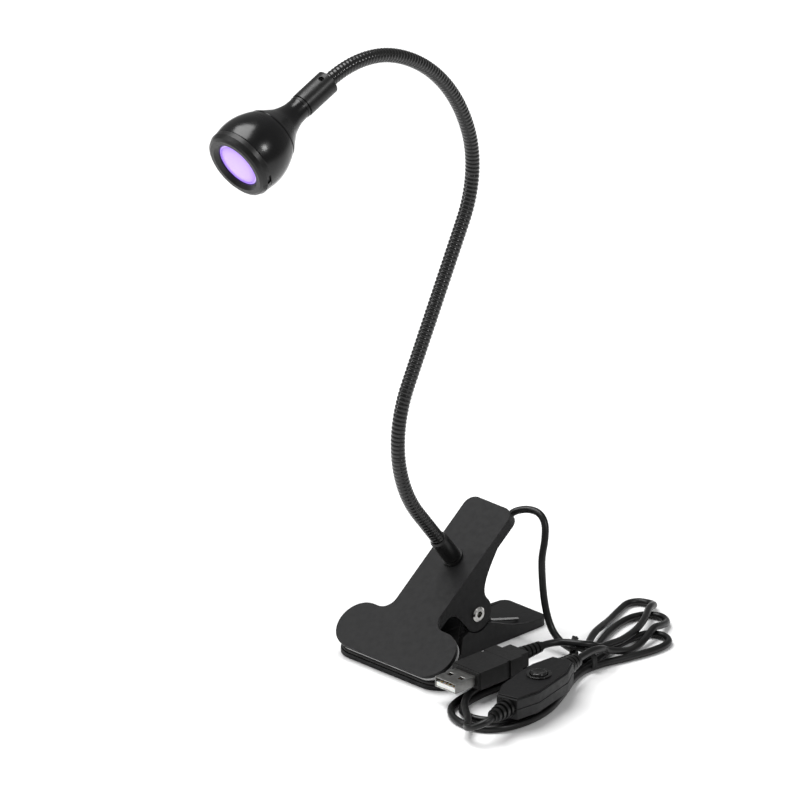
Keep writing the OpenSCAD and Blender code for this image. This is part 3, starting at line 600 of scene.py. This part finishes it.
class LAMP_OT_leads(Piece):
    """Both stretches of the lead, as they lie, and the twist tie round their turns"""

    bl_idname = "lamp.leads"
    bl_label = "Leads and tie"

    def lay(self, name, route, material):
        radius = self.sizes.lead_d / 2
        steps, spacing, sides = 8, 1.4 * MM, 14
        points = even(catmull([vec(p) for p in route], steps), spacing)
        return new_piece(name, sweep(points, lambda i, a: radius, sides), material, 60), points

    def declare(self, piece, line, far_end, *on_it):
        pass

    def execute(self, context):
        pvc = lead_pvc("lead_soft_pvc", self.colours.lead)
        to_switch = DROP_ROUTE + FRONT_OUTER_TURN + REAR_RIGHT_TURN + FRONT_INNER_TURN
        to_switch += REAR_MIDDLE_TURN + SWITCH_REAR_ROUTE
        to_plug = SWITCH_FRONT_ROUTE + FRONT_UPPER_RUN + REAR_LEFT_TURN + PLUG_ROUTE
        first, line = self.lay("lead_lamp_to_switch", to_switch, pvc)
        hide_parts("cord_drop", "cord_rear_hank", "cord_switch_rear")
        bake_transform(first)
        self.declare(first, line, "fitting", "switch_relief_rear", "switch_base", "switch_cover")
        second, line = self.lay("lead_switch_to_plug", to_plug, pvc)
        settle(second, "lower_jaw", "lead_pvc", "cord_front_hank", "cord_switch_front", "cord_plug_tail")
        self.declare(second, line, "plug", "plug_relief", "plug_body", "plug_shell")
        self.tie()
        return {"FINISHED"}

    def tie(self):
        """A flat twist tie: two wraps round the turns, and its ends twisted together and left standing"""
        low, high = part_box("cord_tie")
        centre = (low + high) / 2
        half = (high - low) / 2
        thick, wide, parts = 0.35 * MM, 0.85 * MM, 72
        material = moulded_pvc("tie_pvc_over_wire", hex_colour("0e0e0e"))
        for name, along, lean in (("front", -0.8, 0.25), ("rear", 0.95, -0.2)):
            loop = []
            for k in range(parts + 1):
                a = 2 * math.pi * k / parts
                loop.append(centre + Vector((
                    (half.x - thick) * squared(math.cos(a)),
                    (along + lean * math.cos(a)) * MM,
                    (half.z - thick) * squared(math.sin(a)),
                )))
            wrap = strip(loop, wide, thick, Vector((0, 1, 0)))
            settle(new_piece("tie_wrap_" + name, wrap, material, 50), "lower_jaw", "tie_black", "cord_tie")
        for k, tail in enumerate((TIE_TAIL_A, TIE_TAIL_B)):
            line = even(catmull([vec(p) for p in tail], 6), 0.4 * MM)
            end = strip(line, wide, thick, Vector((0.4, 0.9, 0.2)))
            settle(new_piece(f"tie_tail_{k + 1}", end, material, 50), "lower_jaw", "tie_black")


def squared(x, power=0.55):
    """A cosine or sine pushed out towards a square with round corners. A power of 1 leaves it round."""
    return math.copysign(abs(x) ** power, x)


def strip(points, half_wide, half_thick, across):
    """A flat strip with round edges along the points, lying flat along across"""
    sides, edge_power = 16, 4

    def radius_at(i, a):
        wide = (abs(math.cos(a)) / half_wide) ** edge_power
        thick = (abs(math.sin(a)) / half_thick) ** edge_power
        return 1 / (wide + thick) ** (1 / edge_power)

    return sweep(points, radius_at, sides, across)


class LAMP_OT_neck(Piece):
    """The wound neck, in lengths that run from the middle of one stretch to the next"""

    bl_idname = "lamp.neck"
    bl_label = "Bendable neck"

    def execute(self, context):
        sizes = self.sizes
        parts_per_rib, sides, crest_power = 6, 28, 0.55
        foot_overrun = 8
        raw, pivots, _, _ = neck_line(sizes)
        step = sizes.rib_pitch / parts_per_rib
        points = even(raw, step)
        where = [0.0]
        for p, q in zip(points, points[1:]):
            where.append(where[-1] + (q - p).length)
        near = [min(range(len(points)), key=lambda i: (points[i] - p).length) for p in pivots]
        cuts = [0, near[0] // 2 + foot_overrun] + [(a + b) // 2 for a, b in zip(near, near[1:])]
        cuts += [(near[-1] + len(points) - 1) // 2, len(points) - 1]
        bodies = ["upper_jaw", "neck_2", "neck_3", "neck_4", "neck_5", "head"]
        steel = lacquered_steel("neck_lacquered_steel_coil", self.colours.neck)

        def rib(i, a):
            phase = (where[i] / sizes.rib_pitch + a / (2 * math.pi)) % 1.0
            crest = abs(math.sin(math.pi * phase)) ** crest_power
            return sizes.neck_r - sizes.rib_depth * (1 - crest)

        whole = rings_across(points, rib, sides)
        for k in range(len(cuts) - 1):
            piece = new_piece(f"neck_length_{k + 1}", skin(whole[cuts[k] : cuts[k + 1] + 1]), steel, 180)
            if 0 < k < len(cuts) - 2:
                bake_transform(piece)
                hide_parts(f"gooseneck_{k}")
            else:
                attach(piece, bodies[0] if k == 0 else bodies[-1])
                if k:
                    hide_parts("gooseneck_6")
        return {"FINISHED"}


class LAMP_OT_head(Piece):
    """The head: turned front shell, belly shell and lens, with the softened collar and bezel"""

    bl_idname = "lamp.head"
    bl_label = "Head"

    def turned(self, name, outline, slot, material, *nodes):
        profile = [(r * MM, z * MM) for r, z in outline]
        return settle(new_piece(name, lathe(profile, self.place), material, 28), "head", slot, *nodes)

    def execute(self, context):
        self.place = head_matrix()
        gloss = gloss_lacquer("head_gloss_black_lacquer", self.colours.head)
        satin = satin_lacquer("head_satin_black_lacquer", self.colours.bezel)
        collar, seam_1, seam_2 = 17.5, 35.5, 53.5
        front = smooth_profile([(5.0, 0), (5.05, 2), (5.5, 5.5), (7.1, 10), (9.4, 13.6), (11.7, 16.8),
                                (12.2, 17.6)])
        front = [(r, z + collar) for r, z in front]
        front += [(12.1, seam_1 - 0.12), (11.7, seam_1 - 0.05), (10.2, seam_1 - 0.05), (7.6, 29), (4.2, 24),
                  (3.65, 20), (3.65, collar + 0.02)]
        belly = smooth_profile([(12.35, 0.3), (13.6, 2.6), (15.1, 6.4), (15.95, 10), (16.2, 13), (16.1, 15.4),
                                (15.75, 17.7)])
        belly = [(r, z + seam_1) for r, z in belly]
        belly = [(11.6, seam_1 + 0.02), (12.2, seam_1 + 0.08)] + belly
        belly += [(15.6, seam_2 - 0.05), (14.3, seam_2 - 0.05), (14.6, seam_2 - 5), (13.6, seam_1 + 6),
                  (11, seam_1 + 0.3)]
        self.turned("head_front_shell_finished", front, "head_gloss", gloss, "head_front_shell")
        self.turned("head_belly_shell_finished", belly, "head_gloss", gloss, "head_belly_shell")
        softened("head_bezel", "head", "head_satin", satin, 0.22 * MM, 2, 20)
        softened("head_collar", "head", "head_satin", satin, 0.3 * MM, 3, 30)
        bezel_l, lens_sink = 4.8, 2.4
        flange_r, flange_t, dome_r, dome_h, glow_r = 11.2, 2.3, 10.1, 1.4, 10.3
        lens_top = seam_2 + bezel_l - lens_sink
        dome = [(0, lens_top - flange_t), (flange_r, lens_top - flange_t), (flange_r, lens_top)]
        dome.append((dome_r, lens_top + 0.02))
        for k in range(1, 16):
            a = math.radians(90 - 6 * k)
            dome.append((dome_r * math.sin(a), lens_top + dome_h * math.cos(a)))
        middle_of_lens = self.place @ Vector((0, 0, (lens_top + dome_h / 2) * MM))
        lit = lit_lens("lens_lit_frosted_acrylic", self.colours.glow, middle_of_lens, glow_r * MM)
        self.turned("lens_finished", dome, "lens_clear", lit, "lens")
        return {"FINISHED"}


def smooth_profile(points, steps=6):
    """An outline through [(radius, distance)] as a smooth curve."""
    curve = catmull([Vector((r, z, 0)) for r, z in points], steps)
    return [(p.x, p.y) for p in curve]


class LAMP_OT_clip(Piece):
    """The clip: both arms, their pads, the rivet and the neck's sleeve"""

    bl_idname = "lamp.clip"
    bl_label = "Clip"

    def execute(self, context):
        abs_black = moulded_abs("clip_moulded_abs", self.colours.clip)
        edge = self.sizes.mould_edge
        softened("upper_arm", "upper_jaw", "clip_plastic", abs_black, edge)
        softened("lower_arm", "lower_jaw", "clip_plastic", abs_black, edge)
        upper_rubber = pad_rubber("upper_pad_rubber", self.colours.upper_pad)
        softened("upper_jaw_pad", "upper_jaw", "pad_grey", upper_rubber, 0.35 * MM)
        lower_rubber = pad_rubber("lower_pad_rubber", self.colours.lower_pad)
        softened("lower_jaw_pad", "lower_jaw", "pad_dark", lower_rubber, 0.3 * MM)
        nickel = nickel_plate("rivet_bright_nickel")
        softened("hinge_rivet", "upper_jaw", "nickel", nickel, 0.2 * MM)
        softened("neck_sleeve", "upper_jaw", "neck_steel",
                 satin_lacquer("sleeve_satin_black", hex_colour("101010")), 0.3 * MM)
        return {"FINISHED"}


class LAMP_OT_spring(Piece):
    """The torsion spring: lower leg and coil on the lower arm, upper leg on the upper arm"""

    bl_idname = "lamp.spring"
    bl_label = "Torsion spring"

    def execute(self, context):
        pin = Vector(JOINTS["clip_hinge"]["pos_m"])
        radius = self.sizes.wire_d / 2
        low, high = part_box("torsion_spring")
        half = (high[0] - low[0]) / 2 - radius
        coil_r, turns, parts, spacing = 4.7 * MM, 6, 240, 0.8 * MM
        start, span = math.radians(254), math.radians(360 * turns + 104)
        coil = []
        for k in range(parts + 1):
            beside = Vector((half - 2 * half * k / parts, 0, 0))
            coil.append(pin + beside + direction(start - span * k / parts) * coil_r)
        foot = Vector((half, 29 * MM, 4.5 * MM))
        upward = direction(start - span + math.radians(90)) * -1
        tip = coil[-1] + upward * ((high[2] - radius - coil[-1].z) / upward.z)
        wire = nickel_plate("spring_drawn_steel_wire", "dadada", 0.1, 0.2)
        lower = even([foot] + coil[: parts // 2 + 1], spacing)
        upper = even(coil[parts // 2 :] + [tip], spacing)
        for name, line, body in (
            ("spring_lower_leg", lower, "lower_jaw"),
            ("spring_upper_leg", upper, "upper_jaw"),
        ):
            bm = sweep(line, lambda i, a: radius, 12, Vector((1, 0.02, 0.03)))
            settle(new_piece(name, bm, wire, 60), body, "nickel", "torsion_spring")
        return {"FINISHED"}


class LAMP_OT_switch(Piece):
    """The in-line switch with its button and ribbed strain reliefs"""

    bl_idname = "lamp.switch"
    bl_label = "In-line switch"

    def execute(self, context):
        shell = moulded_abs("switch_moulded_abs", self.colours.switch, 0.42, 0.56)
        gloss = gloss_lacquer("button_polished_abs", hex_colour("0b0b0b"))
        ribbed = lead_pvc("relief_soft_pvc", self.colours.lead)
        softened("switch_cover", "lower_jaw", "switch_plastic", shell, 1.5 * MM, 5)
        softened("switch_base", "lower_jaw", "switch_plastic", shell, 0.8 * MM, 4)
        softened("button_ring", "lower_jaw", "button_gloss", gloss, 0.3 * MM)
        softened("switch_button", "button", "button_gloss", gloss, 0.35 * MM)
        for node in ("switch_relief_front", "switch_relief_rear", "plug_relief"):
            paint(node, ribbed)
        return {"FINISHED"}


class LAMP_OT_plug(Piece):
    """The plug: moulded grip, tin-plated shell, white tongue and gilt contacts"""

    bl_idname = "lamp.plug"
    bl_label = "Plug"

    def execute(self, context):
        grip = moulded_pvc("plug_grip_moulded_pvc", hex_colour("191919"))
        softened("plug_body", "lower_jaw", "switch_plastic", grip, 0.5 * MM)
        tin = brushed_tin("plug_brushed_tin", self.colours.tin)
        softened("plug_shell", "lower_jaw", "plug_tin", tin, 0.16 * MM)
        softened("plug_tongue", "lower_jaw", "tongue_white", white_nylon("plug_white_nylon"), 0.12 * MM)
        paint("plug_contacts", gold_flash("plug_gold_flash"))
        return {"FINISHED"}


def paint(node, material):
    """A better material on a carried-over CAD node."""
    for slot in frame["nodes"][node].material_slots:
        slot.material = material


class LAMP_OT_hardware(Piece):
    """Finishes of the small carried-over parts, most of them inside"""

    bl_idname = "lamp.hardware"
    bl_label = "Inner parts"

    def execute(self, context):
        zinc = cast_metal("hardware_zinc_plate", "a9a9a6")
        for node in ("sleeve_nut", "sleeve_washer", "clamp_screws", "board_screws", "switch_screws"):
            paint(node, zinc)
        # painted shade: the set screw is dark grey so that its recessed hole in the collar shows black
        paint("set_screw", cast_metal("set_screw_dark_painted_shade", "161616"))
        paint("heat_plate", cast_metal("heat_plate_aluminium", "bdbdbb"))
        paint("reflector", nickel_plate("reflector_vacuum_plate", "e2e2e2"))
        paint("led_board", white_nylon("board_white_enamel"))
        paint("led_emitter", moulded_abs("emitter_silicone", hex_colour("e8e0a4"), 0.2, 0.3))
        paint("lens_seal", pad_rubber("seal_rubber", hex_colour("1a1a1a")))
        paint("switch_block", moulded_abs("switch_block_nylon", hex_colour("3a3a3a")))
        paint("button_spring", nickel_plate("button_spring_wire"))
        paint("cord_clamp", moulded_abs("clamp_moulded_abs", hex_colour("202020")))
        paint("cord_inside_arm", lead_pvc("inner_lead_pvc", self.colours.lead))
        return {"FINISHED"}


class LAMP_OT_stage(Piece):
    """White floor, pale surroundings and three soft boxes"""

    bl_idname = "lamp.stage"
    bl_label = "Stage"

    def execute(self, context):
        floor_paint, tree, principled = surface("floor_white_paper", Roughness=0.9)
        mottle(tree, principled, hex_colour("f6f6f6"), 0.01, 0.2)
        bm = bmesh.new()
        bmesh.ops.create_grid(bm, x_segments=2, y_segments=2, size=6)
        floor = new_piece("floor", bm, floor_paint)
        floor.location.z = -0.2 * MM
        world = bpy.data.worlds.new("studio")
        world.use_nodes = True
        background = world.node_tree.nodes["Background"]
        background.inputs["Color"].default_value = hex_colour("ffffff")
        background.inputs["Strength"].default_value = 0.3
        context.scene.world = world
        context.scene.view_settings.view_transform = "Standard"
        aim = Vector((0, -40, 130)) * MM
        for name, place, size, watts in (
            ("overhead_box", (-0.5, -0.3, 1.9), 1.3, 42),
            ("left_strip", (-0.9, -1.1, 0.9), 0.35, 5),
            ("right_strip", (1.3, 0.1, 1.1), 0.3, 7),
        ):
            light = bpy.data.lights.new(name, "AREA")
            light.shape, light.size, light.energy = "SQUARE", size, watts
            lamp = bpy.data.objects.new(name, light)
            context.scene.collection.objects.link(lamp)
            lamp.location = place
            lamp.rotation_mode = "QUATERNION"
            lamp.rotation_quaternion = (aim - Vector(place)).to_track_quat("-Z", "Y")
        return {"FINISHED"}


# ---------------------------------------------------------------- panel and start


class LAMP_PT_panel(bpy.types.Panel):
    """Lists the lamp's operators"""

    bl_label = "Curing lamp"
    bl_space_type = "VIEW_3D"
    bl_region_type = "UI"
    bl_category = "Curing lamp"

    def draw(self, context):
        for operator in OPERATORS:
            self.layout.operator(operator.bl_idname)


OPERATORS = (
    LAMP_OT_camera, LAMP_OT_leads, LAMP_OT_neck, LAMP_OT_head, LAMP_OT_clip, LAMP_OT_spring, LAMP_OT_switch,
    LAMP_OT_plug, LAMP_OT_hardware, LAMP_OT_stage,
)
CLASSES = (LampSizes, LampColours) + OPERATORS + (LAMP_PT_panel,)


def register():
    for one in CLASSES:
        bpy.utils.register_class(one)
    bpy.types.Scene.lamp_sizes = bpy.props.PointerProperty(type=LampSizes)
    bpy.types.Scene.lamp_colours = bpy.props.PointerProperty(type=LampColours)


def unregister():
    del bpy.types.Scene.lamp_colours
    del bpy.types.Scene.lamp_sizes
    for one in reversed(CLASSES):
        bpy.utils.unregister_class(one)


def main():
    register()
    for operator in OPERATORS:
        group, name = operator.bl_idname.split(".")
        getattr(getattr(bpy.ops, group), name)()
    bpy.context.view_layer.update()


if __name__ == "__main__":
    main()
